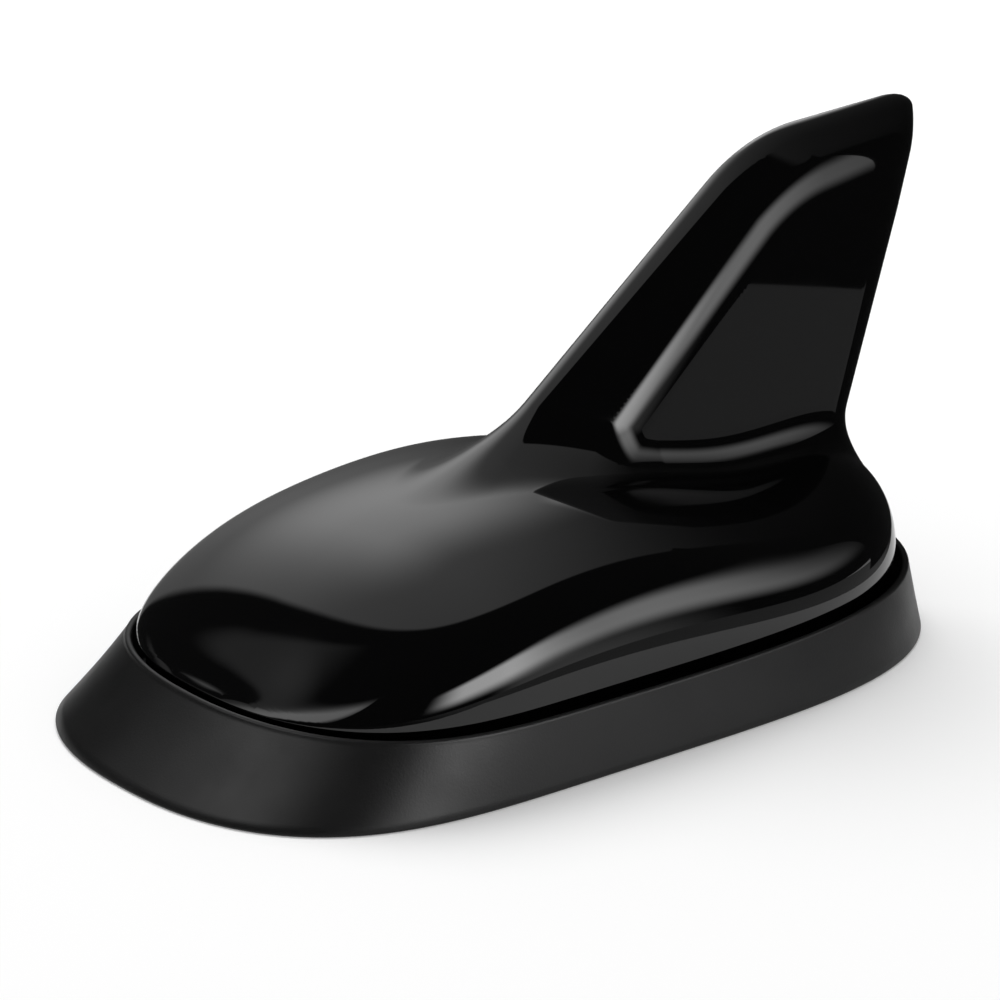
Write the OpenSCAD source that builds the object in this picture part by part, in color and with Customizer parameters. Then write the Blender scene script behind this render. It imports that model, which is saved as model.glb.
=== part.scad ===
// Shark fin aerial for a car roof, stuck down on its flat underside.
// Millimetres. +X runs from the nose to the tail, +Z is up, and z = 0 is the roof.

/* [Skirt] */
// Length of the skirt where it meets the roof
skirt_len = 160; // [150:1:180]
// Width of the skirt where it meets the roof
skirt_wid = 91; // [87:1:100]
// Height of the lip along the flanks
lip_h = 11.6; // [10:0.1:12.2]
// How much higher the lip stands at the nose
lip_nose_rise = 1.9; // [0:0.1:2.5]
// How far the wall leans in at the nose
lean_nose = 13.4; // [11:0.1:16]
// How far the wall leans in at the tail
lean_tail = 2.2; // [1:0.1:4]
// How far the wall leans in at the flanks
lean_side = 2.6; // [1:0.1:4]
// Thickness of the rubber lip
lip_t = 1.2; // [0.8:0.1:1.6]
// Width of the foot that seals on the roof
foot_w = 8; // [6:0.5:10]
// Thickness of the foot under the base plate
foot_t = 1.2; // [0.8:0.1:1.6]
// How far the wall at the nose curves in, halfway up
nose_sag = 1.2; // [0:0.1:1.5]

/* [Cover] */
// Height of the painted lower edge above the roof
edge_z = 13; // [12.6:0.1:15]
// Gap between the lip and the painted edge
lip_gap = 0.4; // [0.3:0.1:1]
// How far the neck is set back behind the painted edge
reveal_w = 1.5; // [1:0.1:2]
// Wall of the dome
cover_wall = 2.4; // [2:0.1:3]
// Squareness of the shoulder
shoulder_power = 2.6; // [2.4:0.1:3.6]

/* [Fin] */
// Height of the tip above the roof
fin_top = 87.4; // [80:0.2:95]
// Place of the leading edge where it leaves the dome
fin_front_x = -8.1; // [-14:0.1:-4]
// Place where the leading edge would meet the top edge
fin_corner_x = 53.1; // [50:0.1:57]
// Slope of the top edge
fin_top_slope = 3.1; // [2:0.1:6]
// Radius of the soft bend between the leading and top edges
fin_bend_r = 35; // [20:1:45]
// How far the trailing edge stands in from the skirt's tail, where it leaves the dome
fin_back_in = 8.6; // [7:0.1:11]
// Lean of the trailing edge from the vertical
fin_back_lean = 19.4; // [14:0.1:22]
// Radius of the leading and top edges
nose_r = 3.4; // [2.5:0.1:4]
// Turn of the facet between the edge and the flank panel
facet_turn = 31; // [26:1:36]
// Softness of the convex ridge between facet and panel
ridge_soft = 2; // [1:0.2:3]
// Softness of the trailing edge
back_soft = 7; // [5:0.5:8]
// Half thickness of the fin between its flank panels, near the ledge
panel_half = 10; // [9:0.1:10.5]
// Fillet between fin and dome, at the nose
fillet_nose = 8.5; // [6:0.5:10]
// Fillet between fin and dome, along the ledge
fillet_ledge = 5.5; // [4:0.5:7]
// Half width of the slot inside the fin
slot_half = 2.4; // [2.2:0.1:2.6]

/* [Base plate] */
// Thickness of the base plate
plate_t = 3; // [2.6:0.1:3.5]
// Clearance between the plate and the skirt
plate_gap = 0.3; // [0.2:0.1:0.5]
// Thickness of the cover seal
seal_t = 0.5; // [0.4:0.1:0.8]
// Radius of the self-tapping screws
screw_r = 1.25; // [1:0.05:1.4]
// Radius of the screw heads
screw_head_r = 2.7; // [2.3:0.1:3]
// Radius of the screw bosses
boss_r = 3.4; // [3:0.1:4]
// How far the lead outlet lies in from the skirt's tail
outlet_in = 19; // [18:0.5:20]
// Radius of the lead outlet's bore
outlet_r = 3; // [2:0.1:3.5]

/* [Boards] */
// Height of the board posts
post_h = 4; // [3:0.5:5]
// How far the main board stands in from the skirt's nose
board_nose_in = 36; // [35:0.5:38]
// How far the main board stands in from the skirt's tail
board_tail_in = 34; // [32:0.5:36]
// Width of the main board
board_wid = 36; // [32:1:38]
// Thickness of both boards
board_t = 1.6; // [1:0.1:1.8]
// Height of the screening can
can_h = 6; // [5:0.5:7]

/* [Hidden] */

$fn = 48;
ring_n = 88;
dome_n = 6;

// Outlines, all superellipses about the widest section: powers along and across, for the nose and the tail
widest_x = -18;
roof_curve = [3.6, 2.35, 4.5, 2.0];
lip_curve = [3.2, 2.2, 4.1, 2.2];
roof_size = [-skirt_len / 2, skirt_len / 2, skirt_wid / 2];
lip_size = inset(roof_size, lean_nose, lean_tail, lean_side);
lip_inner = inset(lip_size, lip_t, lip_t, lip_t);
edge_size = inset(lip_inner, lip_gap, lip_gap + 0.6, lip_gap + 0.6);
neck_size = inset(edge_size, reveal_w, reveal_w, reveal_w);
pocket_size = inset(roof_size, 5, 4, 4);
foot_size = inset(roof_size, foot_w + 1, foot_w, foot_w);

// Heights
plate_top = foot_t + plate_t;
neck_z = plate_top + seal_t;
board_z = plate_top + post_h;
board_top = board_z + board_t;
crown_step = 20;
crown_start = -80;
// Height of the dome over its edge, at every crown_step from crown_start
crown = [-8.5, 4.5, 18.5, 24.3, 26, 22.5, 17.5, 21, 30.5, 39.5];

// The fin's side outline, as three lines that the bend and the tip round off
fin_front_z = 37.3;
fin_back_z = 26;
fin_back_x = skirt_len / 2 - fin_back_in;
fin_tip_x = fin_back_x + 14.6;
fin_corner_z = fin_top - (fin_tip_x - fin_corner_x) * tan(fin_top_slope);
fin_rake = atan2(fin_corner_z - fin_front_z, fin_corner_x - fin_front_x);
fin_tip_r = 6;
// Extra softness of the trailing edge at the tip, and the height where it sets in
tip_soft = 1.2;
tip_soft_z = 68;
// The flank panels close in by this much per millimetre towards the tail and the top, from panel_at
panel_taper = [0.055, 0.012];
panel_at = [15, 38];
// Low edge of the slot and of the upright board's tail
fin_base_z = 20;
lead_line = edge_line([sin(fin_rake), -cos(fin_rake)], [fin_front_x, fin_front_z]);
top_line = edge_line([sin(fin_top_slope), -cos(fin_top_slope)], [fin_tip_x, fin_top]);
back_line = edge_line([-cos(fin_back_lean), sin(fin_back_lean)], [fin_back_x, fin_back_z]);
bend_at = meet(lead_line, top_line, fin_bend_r, fin_bend_r);
tip_at = meet(top_line, back_line, fin_tip_r, fin_tip_r);
foot_tail_x = fin_back_x - 0.5;

// How far each ring over the dome has come from the painted edge to the foot of the fin
dome_climb = [0.02, 0.06, 0.12, 0.19, 0.27, 0.36, 0.46, 0.57, 0.69, 0.8, 0.9];
// How far each ring through the fillet has come from the foot of the fin to its middle row
foot_climb = [0.01, 0.06, 0.12, 0.19, 0.28, 0.4, 0.56, 0.77, 1];
// How far the middle row and each ring above it lie from the top edge
middle_row = 32;
top_climb = [26, 20, 15, 11, 8, 5.6, 3.8, 2.4, 1.4, 0.7, 0.25];

// Screws and board
cover_screw_x = [edge_size[0] + 13, 4, edge_size[1] - 21.6];
cover_screw_side = [0.295, 0.774, 0.54];
cover_screw_at = [
    for (i = [0:2], s = [1, -1])
        [cover_screw_x[i], s * cover_screw_side[i] * edge_size[2]]
];
cover_screw_reach = 9;
board_x = board_nose_in - skirt_len / 2;
board_end = skirt_len / 2 - board_tail_in;
board_screw_x = [board_x + 4, board_end - 4];
board_screw_y = board_wid / 2 - 4;
board_screw_r = 1.1;
fin_board_front = 8;
fin_board_tail = fin_back_x - 15.4;
fin_board_foot = board_top + 0.8;
clip_x = [16, board_end - 8];
coil_x = fin_board_front - 7;
coil_turns = 6;
coil_r = 3;
can_x = board_x + 9;
can_len = coil_x - coil_r - 3 - can_x;
can_wid = 24;
can_wall = 0.5;
chip_len = 7;
outlet_x = skirt_len / 2 - outlet_in;
coil_wire_r = 0.4;
coil_pitch = 2;
coil_steps = 14;

function inset(s, nose, tail, side) = [s[0] + nose, s[1] - tail, s[2] - side];
function signed_pow(a, e) = sign(a) * pow(abs(a), e);
function lerp(a, b, t) = a + (b - a) * t;
function clamp01(t) = max(0, min(1, t));

// Point of an outline: s holds its nose, tail and half width, e its four powers
function plan_at(s, e, a, k = 1) =
    let (c = cos(a), q = sin(a))
    c < 0
        ? [widest_x - (widest_x - s[0]) * pow(-c * k, 2 / e[0]), s[2] * signed_pow(q * k, 2 / e[1])]
        : [widest_x + (s[1] - widest_x) * pow(c * k, 2 / e[2]), s[2] * signed_pow(q * k, 2 / e[3])];
function plan(s, e, k = 1) = [for (i = [0:ring_n - 1]) plan_at(s, e, 360 * i / ring_n, k)];

// Height of the dome's crown at x, a cubic B-spline through the crown list
function crown_at(x) =
    let (
        s = (x - crown_start) / crown_step,
        i = max(1, min(len(crown) - 3, floor(s))),
        t = s - i
    )
    (pow(1 - t, 3) * crown[i - 1]
        + (3 * pow(t, 3) - 6 * t * t + 4) * crown[i]
        + (-3 * pow(t, 3) + 3 * t * t + 3 * t + 1) * crown[i + 1]
        + pow(t, 3) * crown[i + 2]) / 6;

// Height of the dome's surface at a point of the plan
function dome_z(x, y) =
    let (
        nose = x < widest_x,
        u = abs(x - widest_x) / (nose ? widest_x - edge_size[0] : edge_size[1] - widest_x),
        q = pow(min(u, 1), lip_curve[nose ? 0 : 2]) + pow(abs(y) / edge_size[2], lip_curve[1])
    )
    edge_z + crown_at(x) * pow(max(1 - q, 0), 1 / shoulder_power);

// About the distance outside the dome, negative inside it
function dome_out(p) =
    let (
        e = p[0] < widest_x ? lip_curve[0] : lip_curve[2],
        f = lip_curve[1],
        g = shoulder_power,
        reach = p[0] < widest_x ? widest_x - edge_size[0] : edge_size[1] - widest_x,
        h = max(crown_at(p[0]), 1),
        u = abs(p[0] - widest_x) / reach,
        v = abs(p[1]) / edge_size[2],
        w = max(p[2] - edge_z, 0) / h,
        slope = [e * pow(u, e - 1) / reach, f * pow(v, f - 1) / edge_size[2], g * pow(w, g - 1) / h]
    )
    (pow(u, e) + pow(v, f) + pow(w, g) - 1) / max(norm(slope), 0.01);

// One ring of a dome: a is the angle of climb from the edge
function dome_ring(s, drop, a) = [
    for (p = plan(s, lip_curve, cos(a)))
        [p[0], p[1], edge_z + (crown_at(p[0]) - drop) * pow(sin(a), 2 / shoulder_power)]
];
function flat_ring(s, z) = [for (p = plan(s, lip_curve)) [p[0], p[1], z]];

function middle(ring) = let (n = len(ring)) [for (c = [0:2]) [for (p = ring) p[c]] * [for (p = ring) 1] / n];

// Skins a stack of closed rings, and closes both ends with a fan to the middle of the end ring
module rings_solid(rings) {
    n = len(rings[0]);
    last = len(rings) - 1;
    low = n * (last + 1);
    polyhedron(
        points = [for (r = rings) each r, middle(rings[0]), middle(rings[last])],
        faces = [
            for (i = [0:n - 1]) [low, i, (i + 1) % n],
            for (k = [0:last - 1], i = [0:n - 1])
                let (j = (i + 1) % n)
                each [
                    [k * n + i, (k + 1) * n + i, (k + 1) * n + j],
                    [k * n + i, (k + 1) * n + j, k * n + j]
                ],
            for (i = [0:n - 1]) [low + 1, last * n + (i + 1) % n, last * n + i]
        ],
        convexity = 6
    );
}

// A line of the side view: its inward normal and its place along it
function edge_line(n, p) = [n[0], n[1], n * p];
// Distance of a point inside a line
function inside(l, x, z) = l[0] * x + l[1] * z - l[2];
// Point that lies da inside line a and db inside line b
function meet(a, b, da, db) =
    let (p = a[2] + da, q = b[2] + db)
    [p * b[1] - q * a[1], a[0] * q - b[0] * p] / (a[0] * b[1] - b[0] * a[1]);
// Point at height z that lies d inside a line
function at_height(l, d, z) = [(l[2] + d - l[1] * z) / l[0], z];

// Frame that follows the fin's side outline inside it, cut off at a front and at a low edge
function fin_frame(front, low, lead, top, back) = [
    [front, low],
    at_height(back_line, back, low),
    meet(back_line, top_line, back, top),
    meet(top_line, lead_line, top, lead),
    [front, (lead_line[2] + lead - lead_line[0] * front) / lead_line[1]]
];

// Distance inside the leading and top edges, with the bend between them
function rim_in(x, z) =
    let (v = [x, z] - bend_at, a = atan2(v[1], v[0]))
    a > 90 + fin_top_slope && a < 90 + fin_rake
        ? fin_bend_r - norm(v)
        : min(inside(lead_line, x, z), inside(top_line, x, z));

// The fin's rows run along the top edge: u is measured along it and w across it, both from the tip
function to_row(p) =
    let (d = p - [fin_tip_x, fin_top], c = cos(fin_top_slope), q = sin(fin_top_slope))
    [d[0] * c + d[1] * q, d[1] * c - d[0] * q];
function from_row(u, w) =
    let (c = cos(fin_top_slope), q = sin(fin_top_slope))
    [fin_tip_x + u * c - w * q, fin_top + u * q + w * c];
function row_front(w) =
    let (
        o = to_row(bend_at),
        rake = fin_rake - fin_top_slope,
        turn = o[1] + fin_bend_r * cos(rake)
    )
    w < turn
        ? o[0] - fin_bend_r * sin(rake) + (w - turn) / tan(rake)
        : o[0] - sqrt(max(0, pow(fin_bend_r, 2) - pow(w - o[1], 2)));
function row_back(w) =
    let (
        o = to_row(tip_at),
        lean = fin_back_lean + fin_top_slope,
        turn = o[1] - fin_tip_r * sin(lean)
    )
    w < turn
        ? o[0] + fin_tip_r * cos(lean) + (w - turn) * tan(lean)
        : o[0] + sqrt(max(0, pow(fin_tip_r, 2) - pow(w - o[1], 2)));

function smooth_max(a, b, k) = let (h = max(k - abs(a - b), 0) / k) max(a, b) + h * h * k / 4;
// Smaller of two distances, with a fillet of radius r where they meet
function round_min(a, b, r) = max(r, min(a, b)) - norm([max(r - a, 0), max(r - b, 0)]);

// About the distance outside the fin: a wedge with a round nose, rolled over into two flat flank panels
function fin_out(p) =
    let (
        side = abs(p[1]),
        ahead = nose_r - rim_in(p[0], p[2]),
        facet = ahead * sin(facet_turn) + side * cos(facet_turn) - nose_r,
        nose = norm([ahead, side]) - nose_r,
        front = ahead * cos(facet_turn) > side * sin(facet_turn) ? nose : facet,
        panel = side - panel_half + panel_taper * ([p[0], p[2]] - panel_at),
        back = -inside(back_line, p[0], p[2])
    )
    smooth_max(
        smooth_max(front, panel, ridge_soft),
        back,
        back_soft + tip_soft * clamp01((p[2] - tip_soft_z) / 14)
    );

// About the distance outside the cover. Its fillet narrows behind the nose of the fin.
function cover_out(p) =
    let (along = clamp01((p[0] - fin_front_x - 3) / 30))
    round_min(dome_out(p), fin_out(p), lerp(fillet_nose, fillet_ledge, along));

// Moves a point onto the cover's surface, down the slope of cover_out
function settle(p, n = 3) =
    n == 0 ? p
    : let (
        v = cover_out(p),
        g = [for (c = [[0.01, 0, 0], [0, 0.01, 0], [0, 0, 0.01]]) cover_out(p + c) - v] / 0.01
    )
    settle(p - v * g / max(g * g, 0.2), n - 1);

// Half thickness of the fin's foot
function foot_half(x) =
    min(
        panel_half - panel_taper[0] * (x - panel_at[0]),
        1 + (x - fin_front_x) * sin(fin_rake) * tan(facet_turn),
        3 * (foot_tail_x - x)
    );
// Foot of the fin on the dome, from the tail at angle 0 round the nose at 180
function fin_foot(a) =
    let (
        x = lerp(fin_front_x, foot_tail_x, (1 + cos(a)) / 2),
        y = sign(round(sin(a) * 1000)) * foot_half(x)
    )
    [x, y, dome_z(x, y)];
// Row of the fin that lies w below the top edge
function fin_row(a, w, half) =
    let (p = from_row(lerp(row_front(-w), row_back(-w), (1 + cos(a)) / 2), -w))
    [p[0], half * sin(a), p[1]];

// Outside of the cover, in one piece: neck, painted edge, dome, fillet and fin
module cover_outer() {
    turns = [for (i = [0:ring_n - 1]) 360 * i / ring_n];
    edge = flat_ring(edge_size, edge_z);
    rings_solid([
        flat_ring(neck_size, neck_z),
        flat_ring(neck_size, edge_z),
        flat_ring(inset(edge_size, 0.15, 0.15, 0.15), edge_z),
        for (t = dome_climb)
            [for (i = [0:ring_n - 1]) settle(lerp(edge[i], fin_foot(turns[i]), t), 5)],
        for (t = foot_climb)
            [for (a = turns) settle(lerp(fin_foot(a), fin_row(a, middle_row, 8), t))],
        for (w = top_climb)
            [for (a = turns) settle(fin_row(a, w, min(8, 0.6 * w + 2)))],
        [for (a = turns) fin_row(a, 0.05, 0.3)]
    ]);
}

// Space inside the dome, at a distance wall from its outside
module dome_space(wall, low) {
    s = inset(neck_size, wall - 0.4, wall - 0.4, wall - 0.4);
    rings_solid([
        flat_ring(s, low),
        for (i = [0:dome_n - 1]) dome_ring(s, wall, 85 * i / dome_n),
        dome_ring(s, wall, 89)
    ]);
}

// Slot for the upright board, from the dome's hollow up into the fin
module fin_slot() {
    rotate([90, 0, 0])
        linear_extrude(height = 2 * slot_half, center = true)
            polygon(fin_frame(fin_board_front - 3, fin_base_z, 7, 6, 6));
}

module cover() color([0.02, 0.02, 0.022]) {
    difference() {
        cover_outer();
        dome_space(cover_wall, neck_z - 1);
        fin_slot();
    }
    intersection() {
        for (p = cover_screw_at)
            translate([p[0], p[1], neck_z])
                difference() {
                    cylinder(r = boss_r, h = 30);
                    translate([0, 0, -1])
                        cylinder(r = screw_r + 0.05, h = cover_screw_reach + 2);
                }
        dome_space(cover_wall / 2, neck_z);
    }
}

// Section of the skirt at one angle, from the roof up its outside and down its inside
function skirt_section(a) =
    let (
        roof = plan_at(roof_size, roof_curve, a),
        tucked = plan_at(inset(roof_size, 0.35, 0.35, 0.35), roof_curve, a),
        outer = plan_at(lip_size, lip_curve, a),
        inner = plan_at(lip_inner, lip_curve, a),
        pocket = plan_at(pocket_size, roof_curve, a),
        foot = plan_at(foot_size, roof_curve, a),
        u = outer[0] / roof_size[1],
        top = lip_h + (u < 0 ? lip_nose_rise * u * u : 0.5 * u * u),
        sag = nose_sag * max(-u, 0)
    )
    [
        [tucked[0], tucked[1], 0],
        [roof[0], roof[1], 0.6],
        [lerp(roof[0], outer[0], 0.5) + sag * abs(cos(a)), lerp(roof[1], outer[1], 0.5), lerp(0.6, top - 0.7, 0.5)],
        [outer[0], outer[1], top - 0.7],
        [lerp(outer[0], inner[0], 0.25), lerp(outer[1], inner[1], 0.25), top - 0.12],
        [lerp(outer[0], inner[0], 0.6), lerp(outer[1], inner[1], 0.6), top],
        [inner[0], inner[1], top - 0.5],
        [inner[0], inner[1], top - 2.5],
        [pocket[0], pocket[1], plate_top],
        [pocket[0], pocket[1], foot_t],
        [foot[0], foot[1], foot_t],
        [foot[0], foot[1], 0]
    ];

module skirt() color([0.05, 0.05, 0.05]) {
    sections = [for (i = [0:ring_n - 1]) skirt_section(360 * i / ring_n)];
    m = len(sections[0]);
    polyhedron(
        points = [for (s = sections) each s],
        faces = [
            for (i = [0:ring_n - 1], k = [0:m - 1])
                let (j = (i + 1) % ring_n, l = (k + 1) % m)
                each [
                    [i * m + k, i * m + l, j * m + l],
                    [i * m + k, j * m + l, j * m + k]
                ]
        ],
        convexity = 6
    );
}

module base_plate() color([0.12, 0.12, 0.13])
    difference() {
        union() {
            translate([0, 0, foot_t])
                linear_extrude(height = plate_t)
                    polygon(plan(inset(pocket_size, plate_gap, plate_gap, plate_gap), roof_curve));
            for (x = board_screw_x, y = [-board_screw_y, board_screw_y])
                translate([x, y, foot_t])
                    cylinder(r = 3, h = plate_t + post_h);
        }
        for (p = cover_screw_at)
            translate([p[0], p[1], 0]) {
                cylinder(r = screw_r + 0.25, h = 10);
                cylinder(r = screw_head_r + 0.3, h = foot_t + 1.7);
            }
        for (x = board_screw_x, y = [-board_screw_y, board_screw_y])
            translate([x, y, foot_t + 1.2])
                cylinder(r = board_screw_r + 0.05, h = 10);
        translate([outlet_x, 0, 0])
            cylinder(r = outlet_r + 2, h = 10);
    }

// Foam tape on the underside, inside the skirt's foot, open round the lead outlet
module adhesive_pad() color([0.2, 0.2, 0.2])
    linear_extrude(height = foot_t)
        difference() {
            polygon(plan(inset(foot_size, 0.5, 0.5, 0.5), roof_curve));
            translate([outlet_x, 0])
                circle(r = outlet_r + 5);
        }

module cover_seal() color([0.1, 0.1, 0.1])
    translate([0, 0, plate_top])
        linear_extrude(height = seal_t)
            difference() {
                polygon(plan(inset(neck_size, 0.2, 0.2, 0.2), lip_curve));
                polygon(plan(inset(neck_size, 1.8, 1.8, 1.8), lip_curve));
            }

// Pan head screw that points up, with the head's underside at z
module screw_up(x, y, z, head_r, head_h, shank_r, reach)
    translate([x, y, z]) {
        translate([0, 0, -head_h])
            cylinder(r = head_r, h = head_h);
        cylinder(r = shank_r, h = reach - 1);
        translate([0, 0, reach - 1])
            cylinder(r1 = shank_r, r2 = shank_r / 3, h = 1, $fn = 32);
    }

module cover_screws() color([0.7, 0.7, 0.72])
    for (p = cover_screw_at)
        screw_up(p[0], p[1], foot_t + 1.7, screw_head_r, 1.5, screw_r, neck_z - foot_t - 1.7 + cover_screw_reach);

module main_board() color([0.05, 0.3, 0.15])
    difference() {
        translate([board_x, -board_wid / 2, board_z])
            cube([board_end - board_x, board_wid, board_t]);
        for (x = board_screw_x, y = [-board_screw_y, board_screw_y])
            translate([x, y, board_z - 1])
                cylinder(r = board_screw_r + 0.2, h = board_t + 2);
    }

module board_screws() color([0.7, 0.7, 0.72])
    for (x = board_screw_x, y = [-board_screw_y, board_screw_y])
        translate([x, y, 0])
            mirror([0, 0, 1])
                screw_up(0, 0, -board_top, 2.2, 1.4, board_screw_r, board_t + 4.5);

module screening_can() color([0.75, 0.75, 0.76])
    difference() {
        translate([can_x, -can_wid / 2, board_top])
            cube([can_len, can_wid, can_h]);
        translate([can_x + can_wall, can_wall - can_wid / 2, board_top - 1])
            cube([can_len - 2 * can_wall, can_wid - 2 * can_wall, can_h - can_wall + 1]);
        for (i = [1:4], j = [-1:1])
            translate([can_x + can_len * i / 5, j * can_wid / 4, board_top])
                cylinder(r = 1, h = can_h + 2);
    }

module amplifier_chip() color([0.1, 0.1, 0.1]) {
    middle_x = can_x + can_len / 2;
    translate([middle_x - chip_len / 2, -chip_len / 2, board_top + 0.3])
        cube([chip_len, chip_len, 1.4]);
    for (i = [0:5], s = [0, 1])
        mirror([0, s, 0])
            translate([middle_x - 0.45 * chip_len + 1.2 * i, chip_len / 2, board_top])
                cube([0.5, 1.2, 0.6]);
}

module chip_capacitors() color([0.55, 0.45, 0.3])
    for (x = [can_x + 3, can_x + can_len - 6], y = [5, 8], s = [0, 1])
        mirror([0, s, 0])
            translate([x, y, board_top])
                cube([3, 1.6, 1.3]);

// Ring core on its side of the board, between the can and the lead socket
module matching_coil() color([0.6, 0.35, 0.2])
    translate([board_end - 20, 10.5, board_top + 1.7])
        rotate_extrude()
            translate([3.8, 0])
                circle(r = 1.7);

module filter_block() color([0.8, 0.8, 0.8])
    translate([board_end - 26, -15, board_top])
        cube([12, 8, 4]);

module fin_board() color([0.05, 0.3, 0.15])
    rotate([90, 0, 0])
        linear_extrude(height = board_t, center = true)
            polygon([
                [fin_board_front, fin_board_foot], [fin_board_tail, fin_board_foot],
                for (i = [1:4]) fin_frame(fin_board_front, fin_base_z, 9, 8, 8)[i]
            ]);

// Copper loop on both faces of the upright board
module radiator_trace() color([0.75, 0.45, 0.25])
    for (s = [-1, 1])
        translate([0, s * (board_t / 2 + 0.1), 0])
            rotate([90, 0, 0])
                linear_extrude(height = 0.2, center = true)
                    difference() {
                        polygon(fin_frame(fin_board_front + 6, 24, 12.5, 10.5, 10.5));
                        polygon(fin_frame(fin_board_front + 10, 27, 16, 14, 14));
                    }

// Tinned forks that hold the upright board on the main board
module board_clips() color([0.75, 0.75, 0.76])
    for (x = clip_x)
        translate([x, 0, board_top]) {
            translate([-3, -board_t / 2 - 1.1, 0])
                cube([6, board_t + 2.2, 0.8]);
            for (s = [0, 1])
                mirror([0, s, 0])
                    translate([-3, board_t / 2 + 0.1, 0])
                        cube([6, 1, 7]);
        }

// Coil between the main board and the foot of the upright board
module loading_coil() color([0.75, 0.45, 0.25]) {
    n = coil_turns * coil_steps;
    rings_solid([
        for (i = [n:-1:0])
            let (a = 360 * i / coil_steps, rise = coil_pitch * i / coil_steps)
            [
                for (k = [0:7])
                    let (b = 45 * k, r = coil_r + coil_wire_r * cos(b))
                    [
                        coil_x + r * cos(a), r * sin(a),
                        board_top + coil_wire_r + rise + coil_wire_r * sin(b)
                    ]
            ]
    ]);
    translate([coil_x + coil_r, 0, board_top + coil_wire_r + coil_pitch * coil_turns])
        rotate([0, 90, 0])
            cylinder(r = coil_wire_r, h = fin_board_front - coil_x - coil_r);
}

// Foam between the upright board and the walls of its slot
module foam_pads() color([0.15, 0.15, 0.15]) {
    at = lerp(fin_frame(0, 0, 16, 14, 14)[3], fin_frame(0, fin_base_z, 16, 14, 14)[1], 0.45);
    for (s = [0, 1])
        mirror([0, s, 0])
            translate([at[0] - 5, board_t / 2 + 0.2, at[1] - 7])
                cube([10, slot_half - board_t / 2 - 0.2, 14]);
}

// Socket on the board's rear edge, where the aerial lead plugs in
module lead_socket() color([0.8, 0.65, 0.3])
    difference() {
        union() {
            translate([board_end - 10, -10.5, board_top])
                cube([8, 7, 6]);
            translate([board_end - 2, -7, board_top + 3])
                rotate([0, 90, 0])
                    cylinder(r = 2.6, h = 5);
        }
        translate([board_end - 5, -7, board_top + 3])
            rotate([0, 90, 0])
                cylinder(r = 1.9, h = 10);
    }

// Rubber bush in the base plate that the lead passes through
module lead_grommet() color([0.08, 0.08, 0.08])
    translate([outlet_x, 0, foot_t])
        difference() {
            union() {
                cylinder(r = outlet_r + 2, h = plate_t);
                translate([0, 0, plate_t])
                    cylinder(r = outlet_r + 3.5, h = 1.4);
            }
            translate([0, 0, -1])
                cylinder(r = outlet_r, h = 10);
        }

cover();
skirt();
base_plate();
adhesive_pad();
cover_seal();
cover_screws();
main_board();
board_screws();
screening_can();
amplifier_chip();
chip_capacitors();
matching_coil();
filter_block();
fin_board();
radiator_trace();
board_clips();
loading_coil();
foam_pads();
lead_socket();
lead_grommet();
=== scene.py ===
# Looks of the shark fin aerial: the moulded cover, the rubber skirt, their materials and the studio.
import math
import bpy
import numpy as np
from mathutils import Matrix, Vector


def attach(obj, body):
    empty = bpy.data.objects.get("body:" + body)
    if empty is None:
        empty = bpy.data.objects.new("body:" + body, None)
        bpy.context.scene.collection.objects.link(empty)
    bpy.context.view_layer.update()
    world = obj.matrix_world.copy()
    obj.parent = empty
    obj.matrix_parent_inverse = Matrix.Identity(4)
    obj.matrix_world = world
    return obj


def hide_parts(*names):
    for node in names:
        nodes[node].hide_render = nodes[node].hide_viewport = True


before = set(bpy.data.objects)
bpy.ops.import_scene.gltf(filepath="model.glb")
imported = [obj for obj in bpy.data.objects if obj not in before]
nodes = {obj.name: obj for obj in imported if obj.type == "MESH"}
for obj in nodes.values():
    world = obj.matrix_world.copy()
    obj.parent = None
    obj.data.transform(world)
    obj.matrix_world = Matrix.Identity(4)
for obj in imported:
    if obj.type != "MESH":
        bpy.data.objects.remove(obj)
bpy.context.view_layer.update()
MM = 0.001

# Sizes of the part's source, in millimetres. An outline has its nose end, tail end and half width.
# A curve has the powers of its nose half along x and y, and then those of its tail half.
WIDEST_X = -18.0
ROOF = (-80.0, 80.0, 45.5)
ROOF_CURVE = (3.6, 2.35, 4.5, 2.0)
LIP = (-66.6, 77.8, 42.9)
LIP_CURVE = (3.2, 2.2, 4.1, 2.2)
LIP_T, LIP_H = 1.2, 11.6
LIP_RISE_NOSE, LIP_RISE_TAIL = 1.9, 0.5
LIP_DEPTH = 3.0
FOOT_W, FOOT_T, FOOT_R = 8.0, 1.2, 0.5
NOSE_SAG = 1.2

# The cover's dome: its painted lower edge, and a height every CROWN_STEP that steers its middle line
EDGE = (-65.0, 75.6, 40.7)
EDGE_Z = 13.0
NECK_Z = 4.7
REVEAL = 1.5
SHOULDER = 2.6
CROWN = np.array([-8.5, 4.5, 18.5, 24.3, 26, 22.5, 17.5, 21, 30.5, 39.5])
CROWN_START = -80.0
CROWN_STEP = 20.0

# The fin: points on its edges, their angles, the flank panel and the soft transitions
FIN_TOP = 87.4
FIN_TIP_X = 86.0
TOP_SLOPE = math.radians(3.1)
FRONT_X, FRONT_Z = -8.1, 37.3
RAKE = math.radians(38.3)
BEND_R = 35.0
BACK_X, BACK_Z = 71.4, 26.0
BACK_LEAN = math.radians(19.4)
NOSE_R = 3.4
FACET = math.radians(31)
RIDGE_SOFT = 2.0
PANEL_HALF = 10.0
PANEL_X, PANEL_Z = 15, 38
PANEL_TAPER_X, PANEL_TAPER_Z = 0.055, 0.012
BACK_SOFT, TIP_SOFT = 7.0, 1.2
TIP_SOFT_Z, TIP_SOFT_SPAN = 68, 14
FILLET_NOSE, FILLET_LEDGE = 8.5, 5.5
FILLET_START, FILLET_SPAN = 3, 30

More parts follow.
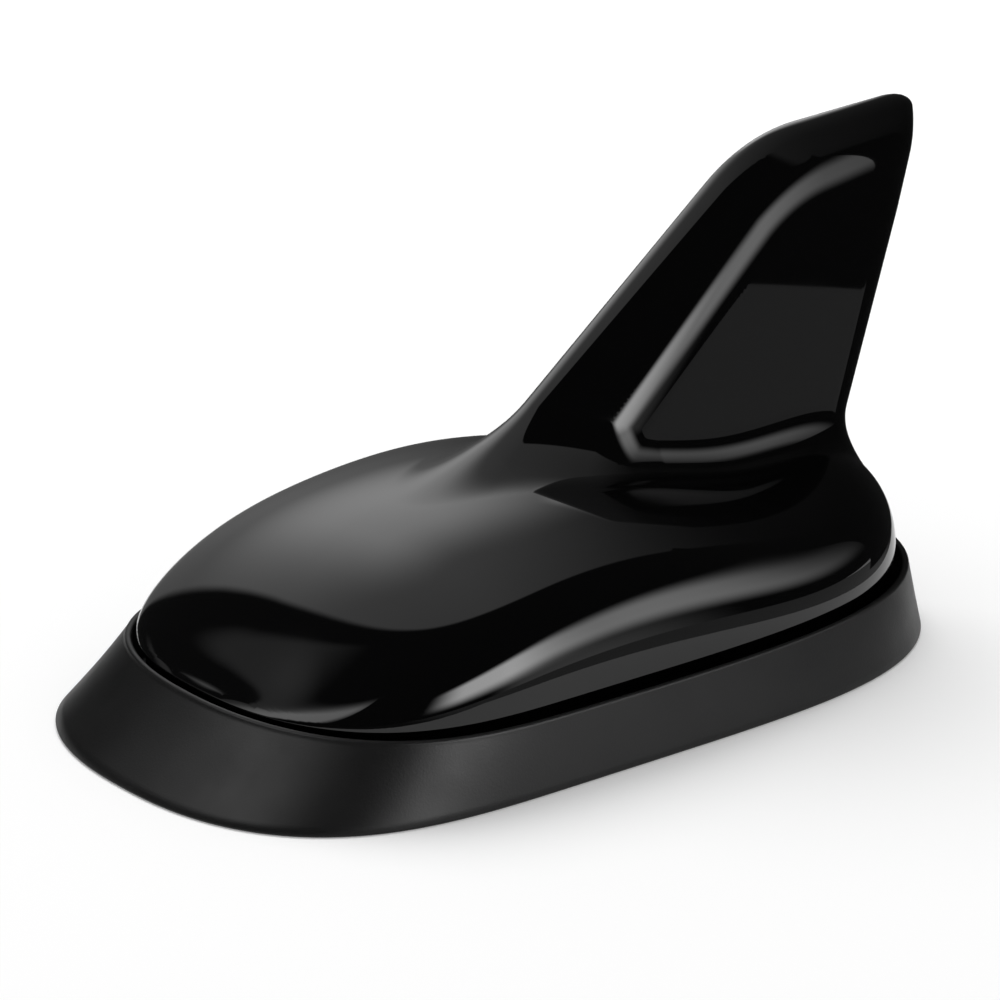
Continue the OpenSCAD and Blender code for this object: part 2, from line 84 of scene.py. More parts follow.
# The cover's mesh: the box and step of its grid, and the height above the edge where the grid begins
GRID_LOW = (-67.2, -43.0)
GRID_HIGH = (94.5, 43.0, 89.5)
GRID_STEP = 0.7
CUT_RISE = 0.45

# The rounded edge below that cut and the neck: how far in, how high, and the tilt of the surface there
EDGE_PROFILE = (
    (0.0, EDGE_Z + 0.22, 0.0),
    (0.07, EDGE_Z + 0.06, -0.5),
    (0.24, EDGE_Z, -0.95),
    (REVEAL - 0.2, EDGE_Z, -1.0),
    (REVEAL, EDGE_Z - 0.25, 0.0),
    (REVEAL, NECK_Z, 0.0),
)


def crown_at(x):
    """Height of the dome's middle line above its edge, a smooth curve steered by CROWN."""
    s = (x - CROWN_START) / CROWN_STEP
    i = np.clip(np.floor(s).astype(int), 1, len(CROWN) - 3)
    t = s - i
    return (
        (1 - t) ** 3 * CROWN[i - 1]
        + (3 * t ** 3 - 6 * t ** 2 + 4) * CROWN[i]
        + (-3 * t ** 3 + 3 * t ** 2 + 3 * t + 1) * CROWN[i + 1]
        + t ** 3 * CROWN[i + 2]
    ) / 6


def dome(x, y, z):
    """About the distance outside the dome, in millimetres, negative inside it."""
    nose = x < WIDEST_X
    power = np.where(nose, LIP_CURVE[0], LIP_CURVE[2])
    reach = np.where(nose, WIDEST_X - EDGE[0], EDGE[1] - WIDEST_X)
    u = np.abs(x - WIDEST_X) / reach
    v = np.abs(y) / EDGE[2]
    height = np.maximum(crown_at(x), 1.0)
    w = np.maximum(z - EDGE_Z, 0) / height
    side = LIP_CURVE[1]
    value = u ** power + v ** side + w ** SHOULDER - 1
    gx = power * u ** (power - 1) / reach
    gy = side * v ** (side - 1) / EDGE[2]
    gz = SHOULDER * w ** (SHOULDER - 1) / height
    return value / np.maximum(np.sqrt(gx ** 2 + gy ** 2 + gz ** 2), 0.01)


def line_corner(r):
    """Centre of the bend, r inside both the leading edge and the top edge."""
    a = np.array([
        [math.sin(RAKE), -math.cos(RAKE)],
        [math.sin(TOP_SLOPE), -math.cos(TOP_SLOPE)],
    ])
    b = np.array([
        r + FRONT_X * math.sin(RAKE) - FRONT_Z * math.cos(RAKE),
        r - FIN_TOP * math.cos(TOP_SLOPE) + FIN_TIP_X * math.sin(TOP_SLOPE),
    ])
    return np.linalg.solve(a, b)


BEND = line_corner(BEND_R)


def rim_in(x, z):
    """Distance inside the leading and top edges, with the bend between them."""
    lead = (x - FRONT_X) * math.sin(RAKE) - (z - FRONT_Z) * math.cos(RAKE)
    top = (FIN_TOP - z) * math.cos(TOP_SLOPE) - (FIN_TIP_X - x) * math.sin(TOP_SLOPE)
    dx, dz = x - BEND[0], z - BEND[1]
    turn = np.arctan2(dz, dx)
    in_bend = (turn > math.pi / 2 + TOP_SLOPE) & (turn < math.pi / 2 + RAKE)
    return np.where(in_bend, BEND_R - np.hypot(dx, dz), np.minimum(lead, top))


def smooth_max(a, b, k):
    """Larger of two distances, blended where they differ by less than k."""
    h = np.maximum(k - np.abs(a - b), 0) / k
    return np.maximum(a, b) + h * h * k / 4


def round_min(a, b, r):
    """Smaller of two distances, with a fillet of radius r where they meet."""
    return np.maximum(r, np.minimum(a, b)) - np.hypot(np.maximum(r - a, 0), np.maximum(r - b, 0))


def fin(x, y, z):
    """About the distance outside the fin, in millimetres, negative inside it."""
    rim = rim_in(x, z)
    side = np.abs(y)
    ahead = NOSE_R - rim
    facet = ahead * math.sin(FACET) + side * math.cos(FACET) - NOSE_R
    nose = np.hypot(ahead, side) - NOSE_R
    front = np.where(ahead * math.cos(FACET) > side * math.sin(FACET), nose, facet)
    panel = side - (PANEL_HALF - PANEL_TAPER_X * (x - PANEL_X) - PANEL_TAPER_Z * (z - PANEL_Z))
    back = (x - BACK_X) * math.cos(BACK_LEAN) - (z - BACK_Z) * math.sin(BACK_LEAN)
    near_tip = np.clip((z - TIP_SOFT_Z) / TIP_SOFT_SPAN, 0, 1)
    return smooth_max(smooth_max(front, panel, RIDGE_SOFT), back, BACK_SOFT + TIP_SOFT * near_tip)


def cover_shape(p):
    """The dome and the fin with their fillet, which narrows behind the fin's nose."""
    x, y, z = p[..., 0], p[..., 1], p[..., 2]
    along = np.clip((x - FRONT_X - FILLET_START) / FILLET_SPAN, 0, 1)
    fillet = FILLET_NOSE + (FILLET_LEDGE - FILLET_NOSE) * along
    return round_min(dome(x, y, z), fin(x, y, z), fillet)


def shape_gradient(p, h=0.02):
    g = np.empty_like(p)
    for c in range(3):
        step = np.zeros(3)
        step[c] = h
        g[..., c] = (cover_shape(p + step) - cover_shape(p - step)) / (2 * h)
    return g


def settle(p, flat, steps=2):
    """Moves points onto the cover's surface. The flat ones keep their height."""
    for _ in range(steps):
        g = shape_gradient(p)
        g[flat, 2] = 0
        steepness = np.maximum((g ** 2).sum(-1), 0.05)
        p = p - (cover_shape(p) / steepness)[..., None] * g
    return p


def surface_net(low, high, step):
    """Quads over the cover's surface, from a grid of samples. Its lowest row stays open."""
    axes = [np.arange(low[c], high[c] + step, step) for c in range(3)]
    grid = np.stack(np.meshgrid(*axes, indexing="ij"), -1)
    value = cover_shape(grid)
    inside = value < 0
    corners = [(i, j, k) for i in (0, 1) for j in (0, 1) for k in (0, 1)]
    n = np.array(value.shape) - 1
    count = np.zeros(n, int)
    for i, j, k in corners:
        count += inside[i:n[0] + i, j:n[1] + j, k:n[2] + k]
    cells = np.argwhere((count > 0) & (count < 8))
    index = -np.ones(n, int)
    index[tuple(cells.T)] = np.arange(len(cells))
    total = np.zeros((len(cells), 3))
    hits = np.zeros(len(cells))
    for a in corners:
        for c in range(3):
            if a[c]:
                continue
            b = tuple(a[d] + (d == c) for d in range(3))
            pa, pb = cells + a, cells + b
            va, vb = value[tuple(pa.T)], value[tuple(pb.T)]
            cross = (va < 0) != (vb < 0)
            t = np.where(cross, va / np.where(va == vb, 1, va - vb), 0)
            total += cross[:, None] * (pa + t[:, None] * (pb - pa))
            hits += cross
    points = np.array(low) + step * total / hits[:, None]
    quads = []
    for c in range(3):
        d, e = (c + 1) % 3, (c + 2) % 3
        low_part = tuple(slice(None, -1) if axis == c else slice(None) for axis in range(3))
        high_part = tuple(slice(1, None) if axis == c else slice(None) for axis in range(3))
        edges = np.argwhere(inside[low_part] != inside[high_part])
        edges = edges[(edges[:, d] > 0) & (edges[:, e] > 0)]
        edges = edges[(edges[:, d] < n[d]) & (edges[:, e] < n[e]) & (edges[:, c] < n[c])]
        outward = inside[low_part][tuple(edges.T)]
        back_d, back_e = np.zeros(3, int), np.zeros(3, int)
        back_d[d], back_e[e] = 1, 1
        q = np.stack([
            index[tuple((edges - back_d - back_e).T)],
            index[tuple((edges - back_e).T)],
            index[tuple(edges.T)],
            index[tuple((edges - back_d).T)],
        ], 1)
        q[~outward] = q[~outward][:, ::-1]
        quads.append(q)
    return points, np.concatenate(quads), cells[:, 2] == 0


def relax(points, quads, flat, rounds):
    """Evens out the net along the surface."""
    for _ in range(rounds):
        total = np.zeros_like(points)
        hits = np.zeros(len(points))
        for a, b in ((0, 1), (1, 2), (2, 3), (3, 0)):
            for s, t in ((a, b), (b, a)):
                np.add.at(total, quads[:, s], points[quads[:, t]])
                np.add.at(hits, quads[:, s], 1)
        moved = total / np.maximum(hits, 1)[:, None]
        moved[flat] = points[flat]
        points = settle(moved, flat, 1)
    return points


def new_mesh(name, points, faces, normals=None):
    """A smooth piece from points in millimetres."""
    mesh = bpy.data.meshes.new(name)
    mesh.vertices.add(len(points))
    mesh.vertices.foreach_set("co", (np.asarray(points) * MM).astype(np.float32).ravel())
    sizes = np.array([len(f) for f in faces])
    mesh.loops.add(int(sizes.sum()))
    corners = np.concatenate([np.asarray(f) for f in faces])
    mesh.loops.foreach_set("vertex_index", corners.astype(np.int32))
    mesh.polygons.add(len(faces))
    mesh.polygons.foreach_set("loop_start", (np.cumsum(sizes) - sizes).astype(np.int32))
    mesh.update(calc_edges=True)
    mesh.validate()
    mesh.shade_smooth()
    if normals is not None:
        mesh.normals_split_custom_set_from_vertices(normals.tolist())
    piece = bpy.data.objects.new(name, mesh)
    bpy.context.scene.collection.objects.link(piece)
    return piece


def ordered_loop(quads, count):
    """The open edge of the net, as one loop of point numbers."""
    pairs = np.concatenate([quads[:, [a, (a + 1) % 4]] for a in range(4)])
    key = pairs[:, 0].astype(np.int64) * count + pairs[:, 1]
    mirrored = pairs[:, 1].astype(np.int64) * count + pairs[:, 0]
    open_pairs = pairs[~np.isin(key, mirrored)]
    following = dict(open_pairs.tolist())
    start = int(open_pairs[0, 0])
    loop = [start]
    while following[loop[-1]] != start:
        loop.append(following[loop[-1]])
    return np.array(loop)


def make_cover():
    """The cover's skin down to a little above its edge, then the rounded edge and the neck."""
    cut_z = EDGE_Z + CUT_RISE
    points, quads, flat = surface_net((*GRID_LOW, cut_z), GRID_HIGH, GRID_STEP)
    points[flat, 2] = cut_z
    points = settle(points, flat)
    points = relax(points, quads, flat, rounds=3)
    points = settle(points, flat)
    normals = shape_gradient(points)
    normals /= np.linalg.norm(normals, axis=1, keepdims=True)
    loop = ordered_loop(quads, len(points))
    outward = normals[loop].copy()
    outward[:, 2] = 0
    outward /= np.linalg.norm(outward, axis=1, keepdims=True)
    all_points, all_normals, faces = [points], [normals], quads.tolist()
    m, n = len(loop), len(points)
    before = loop
    for k, (inward, z, tilt) in enumerate(EDGE_PROFILE):
        ring = points[loop] - inward * outward
        ring[:, 2] = z
        all_points.append(ring)
        lean = outward * math.sqrt(1 - tilt * tilt)
        lean[:, 2] = tilt
        all_normals.append(lean)
        now = n + k * m + np.arange(m)
        following, before_following = np.roll(now, -1), np.roll(before, -1)
        faces += np.stack([before_following, before, now, following], 1).tolist()
        before = now
    return new_mesh("cover_skin", np.concatenate(all_points), faces, np.concatenate(all_normals))


def plan_points(size, curve, angles):
    """Points of an outline in plan."""
    c, q = np.cos(angles), np.sin(angles)
    nose = c < 0
    ex = np.where(nose, curve[0], curve[2])
    ey = np.where(nose, curve[1], curve[3])
    reach = np.where(nose, WIDEST_X - size[0], size[1] - WIDEST_X)
    x = WIDEST_X + np.sign(c) * reach * np.abs(c) ** (2 / ex)
    y = size[2] * np.sign(q) * np.abs(q) ** (2 / ey)
    return np.stack([x, y], 1)


def inset(size, by):
    """The outline moved inwards."""
    return (size[0] + by, size[1] - by, size[2] - by)


def make_skirt():
    """The flared rubber skirt: its foot, its wall, its rounded lip and its inner side."""
    count = 360
    angles = 2 * math.pi * np.arange(count) / count
    roof = plan_points(ROOF, ROOF_CURVE, angles)
    lip = plan_points(LIP, LIP_CURVE, angles)
    lip_in = plan_points(inset(LIP, LIP_T), LIP_CURVE, angles)
    foot = plan_points(inset(ROOF, FOOT_W), ROOF_CURVE, angles)
    u = lip[:, 0] / ROOF[1]
    top = LIP_H + np.where(u < 0, LIP_RISE_NOSE, LIP_RISE_TAIL) * u * u
    lip_round = LIP_T / 2
    sections = []

    def ring(p, z):
        sections.append(np.column_stack([p, np.broadcast_to(z, count)]))

    ring(foot, 0.0)
    outward = (roof - foot) / np.linalg.norm(roof - foot, axis=1, keepdims=True)
    for a in np.linspace(0, math.pi / 2, 5):
        ring(roof - FOOT_R * (1 - math.sin(a)) * outward, FOOT_R * (1 - math.cos(a)))
    sag = np.column_stack([NOSE_SAG * np.maximum(-u, 0) * np.abs(np.cos(angles)), np.zeros(count)])
    for t in np.linspace(0.1, 0.97, 14):
        ring(roof + (lip - roof) * t + sag * math.sin(math.pi * t), FOOT_R + (top - lip_round - FOOT_R) * t)
    for a in np.linspace(0, math.pi, 9):
        ring(lip + (lip_in - lip) * (1 - math.cos(a)) / 2, top - lip_round + lip_round * math.sin(a))
    ring(lip_in, top - LIP_DEPTH)
    ring(foot, FOOT_T)
    points = np.concatenate(sections)
    faces = []
    for k in range(len(sections)):
        here = k * count + np.arange(count)
        above = ((k + 1) % len(sections)) * count + np.arange(count)
        faces += np.stack([here, np.roll(here, -1), np.roll(above, -1), above], 1).tolist()
    return new_mesh("skirt_skin", points, faces)


class Shader:
    """A material with a principled shader and helpers for its procedural detail."""

    def __init__(self, name, colour, roughness, **sockets):
        self.material = bpy.data.materials.new(name)
        self.material.use_nodes = True
        self.tree = self.material.node_tree
        self.principled = self.tree.nodes["Principled BSDF"]
        self.set("Base Color", (*colour, 1))
        self.set("Roughness", roughness)
        for key, value in sockets.items():
            self.set(key.replace("_", " "), value)
        self.place = self.node("ShaderNodeTexCoord").outputs["Object"]

    def set(self, socket, value):
        """Sets one of the principled shader's own sockets."""
        self.principled.inputs[socket].default_value = value

    def node(self, kind, **settings):
        """A new node with its settings or sockets set."""
        made = self.tree.nodes.new(kind)
        for key, value in settings.items():
            if hasattr(made, key):
                setattr(made, key, value)
            else:
                made.inputs[key.replace("_", " ")].default_value = value
        return made

    def noise(self, scale, detail=3.0):
        made = self.node("ShaderNodeTexNoise", Scale=scale, Detail=detail)
        self.tree.links.new(self.place, made.inputs["Vector"])
        return made.outputs["Fac"]

    def spread(self, source, low, high, socket):
        """Lets a socket vary from low to high with the noise."""
        made = self.node("ShaderNodeMapRange")
        made.inputs["To Min"].default_value = low
        made.inputs["To Max"].default_value = high
        made.inputs["From Min"].default_value = 0.3
        made.inputs["From Max"].default_value = 0.7
        self.tree.links.new(source, made.inputs["Value"])
        self.tree.links.new(made.outputs["Result"], self.principled.inputs[socket])

    def tint(self, source, dark, light):
        """Lets the colour vary from dark to light with the noise."""
        made = self.node("ShaderNodeMix", data_type="RGBA")
        colours = [s for s in made.inputs if s.type == "RGBA"]
        colours[0].default_value = (*dark, 1)
        colours[1].default_value = (*light, 1)
        self.tree.links.new(source, made.inputs["Factor"])
        result = [s for s in made.outputs if s.type == "RGBA"][0]
        self.tree.links.new(result, self.principled.inputs["Base Color"])

    def bump(self, source, distance, strength=1.0):
        made = self.node("ShaderNodeBump", Strength=strength, Distance=distance)
        self.tree.links.new(source, made.inputs["Height"])
        self.tree.links.new(made.outputs["Normal"], self.principled.inputs["Normal"])


def gloss_black():
    m = Shader("gloss black moulding", (0.0015, 0.0015, 0.0016), 0.03, IOR=1.45)
    m.spread(m.noise(60, 4), 0.022, 0.04, "Roughness")
    m.bump(m.noise(28, 1), 0.00001)
    return m.material


def skirt_rubber():
    m = Shader("matte rubber", (0.005, 0.005, 0.005), 0.44, IOR=1.5, Specular_IOR_Level=0.28)
    m.tint(m.noise(35, 4), (0.004, 0.004, 0.004), (0.006, 0.006, 0.0062))
    m.spread(m.noise(120, 4), 0.4, 0.48, "Roughness")
    m.bump(m.noise(2600, 2), 0.00004, 0.5)
    return m.material


def moulded(name, dark, light, roughness, grain=900):
    """Plastic, rubber, foam or lacquer with a fine grain."""
    m = Shader(name, dark, roughness)
    m.tint(m.noise(40, 4), dark, light)
    m.spread(m.noise(150, 3), roughness - 0.05, roughness + 0.05, "Roughness")
    m.bump(m.noise(grain, 2), 0.00004, 0.5)
    return m.material


def metal(name, dark, light, roughness):
    """Plated or bare metal, slightly stained."""
    m = Shader(name, dark, roughness, Metallic=1.0)
    m.tint(m.noise(90, 4), dark, light)
    m.spread(m.noise(300, 3), roughness - 0.08, roughness + 0.08, "Roughness")
    m.bump(m.noise(1200, 2), 0.00002, 0.4)
    return m.material


cover = make_cover()
cover.data.materials.append(gloss_black())
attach(cover, "root")
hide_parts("cover")

skirt = make_skirt()
skirt.data.materials.append(skirt_rubber())
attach(skirt, "root")
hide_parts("skirt")

plate = moulded("black glass filled plastic", (0.012, 0.012, 0.013), (0.022, 0.022, 0.024), 0.55)
foam = moulded("closed cell foam", (0.02, 0.02, 0.021), (0.045, 0.045, 0.047), 0.85, 1500)
rubber = moulded("soft black rubber", (0.01, 0.01, 0.01), (0.018, 0.018, 0.018), 0.7)
lacquer = moulded("green board lacquer", (0.006, 0.05, 0.02), (0.012, 0.085, 0.035), 0.3, 500)
tin = metal("tinned steel", (0.5, 0.5, 0.5), (0.66, 0.66, 0.67), 0.35)
zinc = metal("zinc plated steel", (0.5, 0.5, 0.52), (0.7, 0.7, 0.72), 0.4)
copper = metal("copper", (0.62, 0.28, 0.14), (0.78, 0.4, 0.24), 0.32)
gold = metal("gold plated brass", (0.7, 0.5, 0.22), (0.82, 0.62, 0.3), 0.28)
resin = moulded("black resin", (0.012, 0.012, 0.012), (0.025, 0.025, 0.025), 0.45)
ceramic = moulded("tan ceramic", (0.25, 0.16, 0.09), (0.36, 0.24, 0.14), 0.4)
for name, material in {
    "base_plate": plate,
    "adhesive_pad": foam,
    "cover_seal": rubber,
    "cover_screws": zinc,
    "main_board": lacquer,
    "board_screws": zinc,
    "screening_can": tin,
    "amplifier_chip": resin,
    "chip_capacitors": ceramic,
    "matching_coil": copper,
    "filter_block": tin,
    "fin_board": lacquer,
    "radiator_trace": copper,
    "board_clips": tin,
    "loading_coil": copper,
    "foam_pads": foam,
    "lead_socket": gold,
    "lead_grommet": rubber,
}.items():
    mesh = nodes[name].data
    mesh.materials.clear()
    mesh.materials.append(material)

# Camera at the photograph's angle, in metres and millimetres of film
AZIMUTH, ELEVATION = math.radians(-38.47), math.radians(20.0)
DISTANCE, SHIFT_X, SHIFT_Z = 0.8, -0.00135, 0.02925
SENSOR, LENS = 36, 168.54
back = Vector((
    math.sin(AZIMUTH) * math.cos(ELEVATION), -math.cos(AZIMUTH) * math.cos(ELEVATION), math.sin(ELEVATION),
))
right = Vector((math.cos(AZIMUTH), math.sin(AZIMUTH), 0))
up = back.cross(right)
camera_data = bpy.data.cameras.new("camera")
camera_data.sensor_width = SENSOR
camera_data.lens = LENS
camera_data.clip_end = 20
camera = bpy.data.objects.new("camera", camera_data)
camera.location = back * DISTANCE + right * SHIFT_X + up * SHIFT_Z
camera.rotation_euler = (-back).to_track_quat("-Z", "Y").to_matrix().to_3x3().to_euler()
bpy.context.scene.collection.objects.link(camera)
bpy.context.scene.camera = camera


class Glow:
    """A light that shines from one side, with its level worked out from directions in degrees."""

    def __init__(self, name, radius):
        self.material = bpy.data.materials.new(name)
        self.material.use_nodes = True
        self.tree = self.material.node_tree
        self.tree.nodes.clear()
        place = self.tree.nodes.new("ShaderNodeTexCoord").outputs["Object"]
        split = self.tree.nodes.new("ShaderNodeSeparateXYZ")
        self.tree.links.new(place, split.inputs["Vector"])
        self.plan_x = self.math("DIVIDE", split.outputs["X"], radius)
        self.plan_y = self.math("DIVIDE", split.outputs["Y"], radius)
        turn = self.math("ARCTAN2", split.outputs["Y"], split.outputs["X"])
        self.azimuth = self.math("MULTIPLY", turn, math.degrees(1))
        climb = self.math("ARCSINE", self.math("DIVIDE", split.outputs["Z"], radius))
        self.elevation = self.math("MULTIPLY", climb, math.degrees(1))

    def math(self, operation, a, b=None):
        """Result of a sum on node outputs or plain numbers."""
        made = self.tree.nodes.new("ShaderNodeMath")
        made.operation = operation
        for socket, value in zip(made.inputs, (a, b)):
            if isinstance(value, (int, float)):
                socket.default_value = value
            elif value is not None:
                self.tree.links.new(value, socket)
        return made.outputs["Value"]

    def product(self, *factors):
        total = factors[0]
        for factor in factors[1:]:
            total = self.math("MULTIPLY", total, factor)
        return total

    def ramp(self, value, start, end):
        """Rises softly from 0 at start to 1 at end."""
        made = self.tree.nodes.new("ShaderNodeMapRange")
        made.interpolation_type = "SMOOTHSTEP"
        made.inputs["From Min"].default_value = start
        made.inputs["From Max"].default_value = end
        self.tree.links.new(value, made.inputs["Value"])
        return made.outputs["Result"]

    def window(self, value, start, full, fade, end):
        """Rises from start to full, stays at 1 and falls from fade to end."""
        return self.math("MULTIPLY", self.ramp(value, start, full), self.ramp(value, end, fade))

    def patch(self, azimuths, elevations, level):
        """A soft rectangle of light, from a window across and a window upward."""
        across = self.window(self.azimuth, *azimuths)
        upward = self.window(self.elevation, *elevations)
        return self.product(across, upward, level)

    def plan_distance(self, x, y):
        """Distance from a point in plan, as a share of the radius."""
        dx = self.math("SUBTRACT", self.plan_x, x)
        dy = self.math("SUBTRACT", self.plan_y, y)
        return self.math("SQRT", self.math("ADD", self.product(dx, dx), self.product(dy, dy)))

    def finish(self, patches, base):
        """Adds the patches to an even base, and lets the outer side be clear."""
        total = base
        for patch in patches:
            total = self.math("ADD", patch, total)
        light = self.tree.nodes.new("ShaderNodeEmission")
        clear = self.tree.nodes.new("ShaderNodeBsdfTransparent")
        side = self.tree.nodes.new("ShaderNodeNewGeometry").outputs["Backfacing"]
        mix = self.tree.nodes.new("ShaderNodeMixShader")
        out = self.tree.nodes.new("ShaderNodeOutputMaterial")
        self.tree.links.new(total, light.inputs["Strength"])
        self.tree.links.new(side, mix.inputs["Fac"])
        self.tree.links.new(light.outputs["Emission"], mix.inputs[1])
        self.tree.links.new(clear.outputs["BSDF"], mix.inputs[2])
        self.tree.links.new(mix.outputs["Shader"], out.inputs["Surface"])
        return self.material


def reflected_only(name, points, faces, material):
    """A stage piece that shows only in reflections."""
    mesh = bpy.data.meshes.new(name)
    mesh.from_pydata(points, [], faces)
    mesh.materials.append(material)
    card = bpy.data.objects.new(name, mesh)
    bpy.context.scene.collection.objects.link(card)
    card.visible_camera = False
    card.visible_diffuse = False
    card.visible_transmission = False
    card.visible_shadow = False


def polar(azimuth, elevation, distance):
    """A point of the studio. Azimuth 0 is +X and 90 is +Y."""
    a, e = math.radians(azimuth), math.radians(elevation)
    x = distance * math.cos(a) * math.cos(e)
    y = distance * math.sin(a) * math.cos(e)
    return (x, y, distance * math.sin(e))


CARD_COLUMNS, CARD_ROWS = 49, 25


def round_card(name, radius, azimuths, elevations, material):
    """Part of a sphere about the origin, lit on its inner side."""
    around = np.linspace(*azimuths, CARD_COLUMNS)
    upward = np.linspace(*elevations, CARD_ROWS)
    points = [polar(a, e, radius) for e in upward for a in around]
    faces = []
    for row in range(CARD_ROWS - 1):
        for column in range(CARD_COLUMNS - 1):
            k = row * CARD_COLUMNS + column
            faces.append((k, k + CARD_COLUMNS, k + CARD_COLUMNS + 1, k + 1))
    reflected_only(name, points, faces, material)


# Level of a card's dark parts, and of the grey sheets
DARK, SHEET_DARK = 0.02, 0.05

# A softbox close to the near flank
SOFTBOX_R = 0.215
softbox = Glow("softbox", SOFTBOX_R)
softbox_paint = softbox.finish([
    softbox.patch((-118, -97, -82, -62), (6, 20, 30, 36), 8.5),
    softbox.patch((-84, -66, -60, -12), (11, 22, 28, 37), 3.4),
    softbox.patch((-86, -72, -66, -48), (-13, -5, 0, 30), 0.8),
], DARK)
round_card("softbox", SOFTBOX_R, (-118, -5), (3, 45), softbox_paint)

# A round light close above the far flank, brightest in its middle, with a dim card past its edge.
# The disc's middle and both edges are shares of the radius, seen in plan.
OVERHEAD_R = 0.14
DISC_MIDDLE = (0.28, 0.42)
DISC_EDGE = (0.77, 0.75)
CARD_EDGE = (0.81, 0.825)
overhead = Glow("overhead", OVERHEAD_R)
from_middle = overhead.plan_distance(*DISC_MIDDLE)
disc = overhead.ramp(from_middle, *DISC_EDGE)
low_glow = overhead.math("ADD", overhead.product(overhead.ramp(overhead.elevation, 5, 40), 0.5), 0.25)
wide = overhead.product(disc, low_glow, overhead.ramp(overhead.plan_x, 0.85, -0.1))
core = overhead.product(disc, overhead.patch((15, 75, 95, 140), (25, 48, 56, 78), 1.5))
beyond_disc = overhead.ramp(from_middle, *CARD_EDGE)
beyond = overhead.product(beyond_disc, overhead.patch((100, 112, 140, 160), (20, 30, 55, 70), 0.22))
rim_light = overhead.patch((8, 20, 32, 42), (36, 42, 50, 56), 1.2)
ahead_of_nose = overhead.product(
    overhead.window(overhead.plan_y, -0.3, -0.15, 0.12, 0.6),
    overhead.window(overhead.elevation, 18, 26, 42, 49),
    overhead.ramp(overhead.plan_x, -0.5, -0.7),
    2.6,
)
overhead_paint = overhead.finish([wide, core, beyond, rim_light, ahead_of_nose], DARK)
round_card("overhead", OVERHEAD_R, (-20, 198), (0, 90), overhead_paint)
round_card("overhead_front", OVERHEAD_R, (-162, -20), (48, 90), overhead_paint)

# Dark surround, paler behind the object
SURROUND_R = 2.0
surround = Glow("surround", SURROUND_R)
surround_paint = surround.finish([surround.patch((0, 30, 140, 170), (-10, -5, 40, 60), 0.3)], DARK)
round_card("surround", SURROUND_R, (-180, 180), (0, 90), surround_paint)

# Grey sheets on the floor, in front of the view and at its sides, as distances across it and away from it
SHEET_LIFT = 0.001
SIDE_IN, SIDE_OUT = 0.105, 1.8
DEPTH_NEAR, DEPTH_FRONT, DEPTH_BACK = -1.9, -0.13, 0.1
sheet = Glow("grey sheet", SURROUND_R)
sheet_paint = sheet.finish([sheet.patch((-125, -95, -20, 0), (-90, -80, 10, 20), 0.22)], SHEET_DARK)


def floor_sheet(name, across, depth):
    """Spans the given distances across the view and away from the camera."""
    ahead = Vector((-math.sin(AZIMUTH), math.cos(AZIMUTH), 0))
    corners = [(across[0], depth[0]), (across[1], depth[0]), (across[1], depth[1]), (across[0], depth[1])]
    points = [tuple(right * a + ahead * d + Vector((0, 0, SHEET_LIFT))) for a, d in corners]
    reflected_only(name, points, [(0, 1, 2, 3)], sheet_paint)


floor_sheet("sheet_front", (-SIDE_OUT, SIDE_OUT), (DEPTH_NEAR, DEPTH_FRONT))
floor_sheet("sheet_left", (-SIDE_OUT, -SIDE_IN), (DEPTH_FRONT, DEPTH_BACK))
floor_sheet("sheet_right", (SIDE_IN, SIDE_OUT), (DEPTH_FRONT, DEPTH_BACK))

# Floor, lamp and world: the world lights softly from all sides, and shows white
FLOOR_HALF = 4
FLOOR_LIFT = 0.15
WORLD_LIGHT = 0.55
LAMP_WATTS, LAMP_SIZE = 52, 2.0
LAMP_AZIMUTH, LAMP_ELEVATION, LAMP_DISTANCE = 62, 52, 3.0


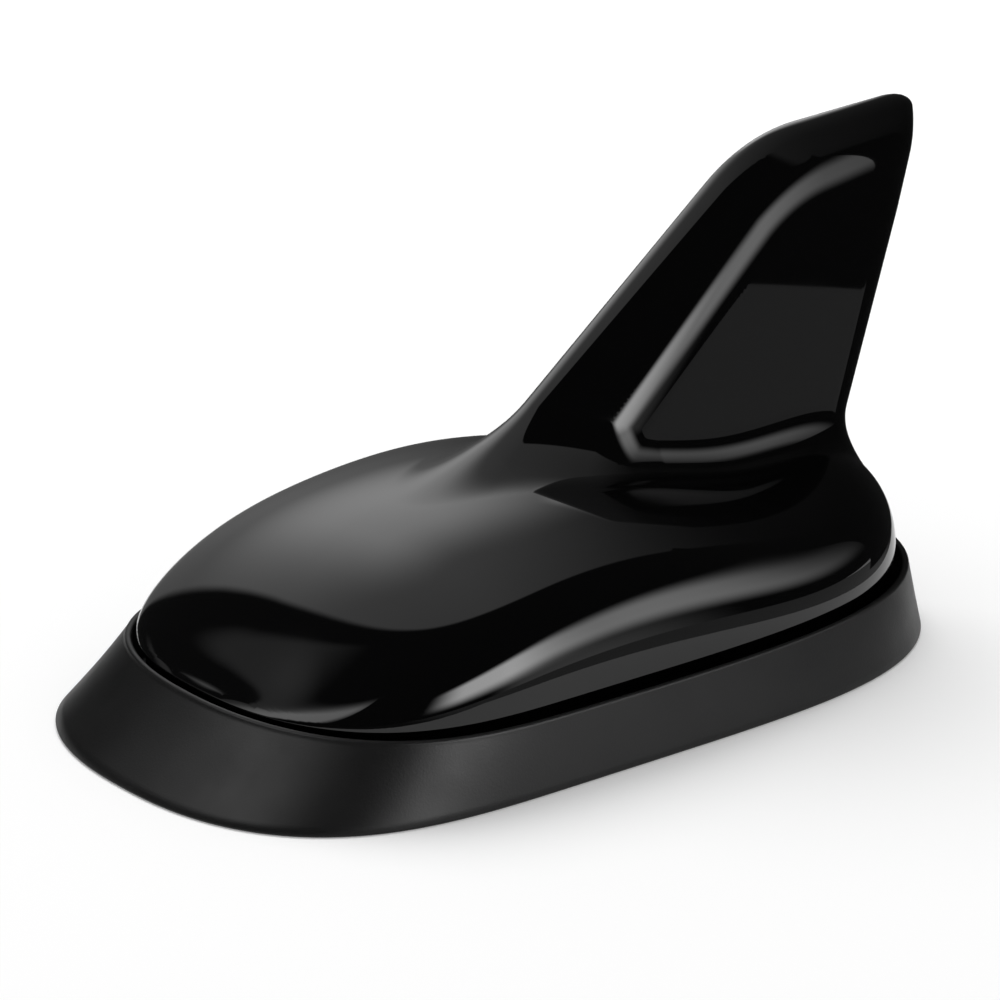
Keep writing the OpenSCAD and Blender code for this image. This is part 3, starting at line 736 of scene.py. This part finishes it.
def seen_directly(tree):
    """1 for what the camera sees, also by a reflection or through glass, and 0 for diffuse light."""
    rays = tree.nodes.new("ShaderNodeLightPath").outputs
    seen = rays["Is Camera Ray"]
    for kind in ("Is Glossy Ray", "Is Transmission Ray"):
        either = tree.nodes.new("ShaderNodeMath")
        either.operation = "MAXIMUM"
        tree.links.new(seen, either.inputs[0])
        tree.links.new(rays[kind], either.inputs[1])
        seen = either.outputs["Value"]
    return seen


floor_mesh = bpy.data.meshes.new("floor")
floor_corners = [(x * FLOOR_HALF, y * FLOOR_HALF, 0) for x, y in ((-1, -1), (1, -1), (1, 1), (-1, 1))]
floor_mesh.from_pydata(floor_corners, [], [(0, 1, 2, 3)])
floor = bpy.data.objects.new("floor", floor_mesh)
bpy.context.scene.collection.objects.link(floor)
floor_paint = Shader("pale floor", (0.9, 0.9, 0.9), 0.5, Specular_IOR_Level=0.0)
floor_seen = seen_directly(floor_paint.tree)
lift = floor_paint.node("ShaderNodeMath", operation="MULTIPLY")
lift.inputs[1].default_value = FLOOR_LIFT
floor_paint.tree.links.new(floor_seen, lift.inputs[0])
floor_paint.tree.links.new(lift.outputs["Value"], floor_paint.principled.inputs["Emission Strength"])
floor_paint.set("Emission Color", (1, 1, 1, 1))
floor.data.materials.append(floor_paint.material)

world = bpy.data.worlds.new("studio")
bpy.context.scene.world = world
world.use_nodes = True
world.node_tree.nodes["Background"].inputs["Color"].default_value = (1, 1, 1, 1)
level = world.node_tree.nodes.new("ShaderNodeMath")
level.operation = "MULTIPLY_ADD"
level.inputs[1].default_value = 1 - WORLD_LIGHT
level.inputs[2].default_value = WORLD_LIGHT
world.node_tree.links.new(seen_directly(world.node_tree), level.inputs[0])
world.node_tree.links.new(level.outputs["Value"], world.node_tree.nodes["Background"].inputs["Strength"])

lamp_data = bpy.data.lights.new("lamp", "AREA")
lamp_data.shape = "DISK"
lamp_data.size = LAMP_SIZE
lamp_data.energy = LAMP_WATTS
lamp = bpy.data.objects.new("lamp", lamp_data)
lamp.location = polar(LAMP_AZIMUTH, LAMP_ELEVATION, LAMP_DISTANCE)
lamp.rotation_euler = Vector(lamp.location).to_track_quat("Z", "Y").to_euler()
lamp.visible_glossy = False
bpy.context.scene.collection.objects.link(lamp)

bpy.context.scene.view_settings.view_transform = "Standard"
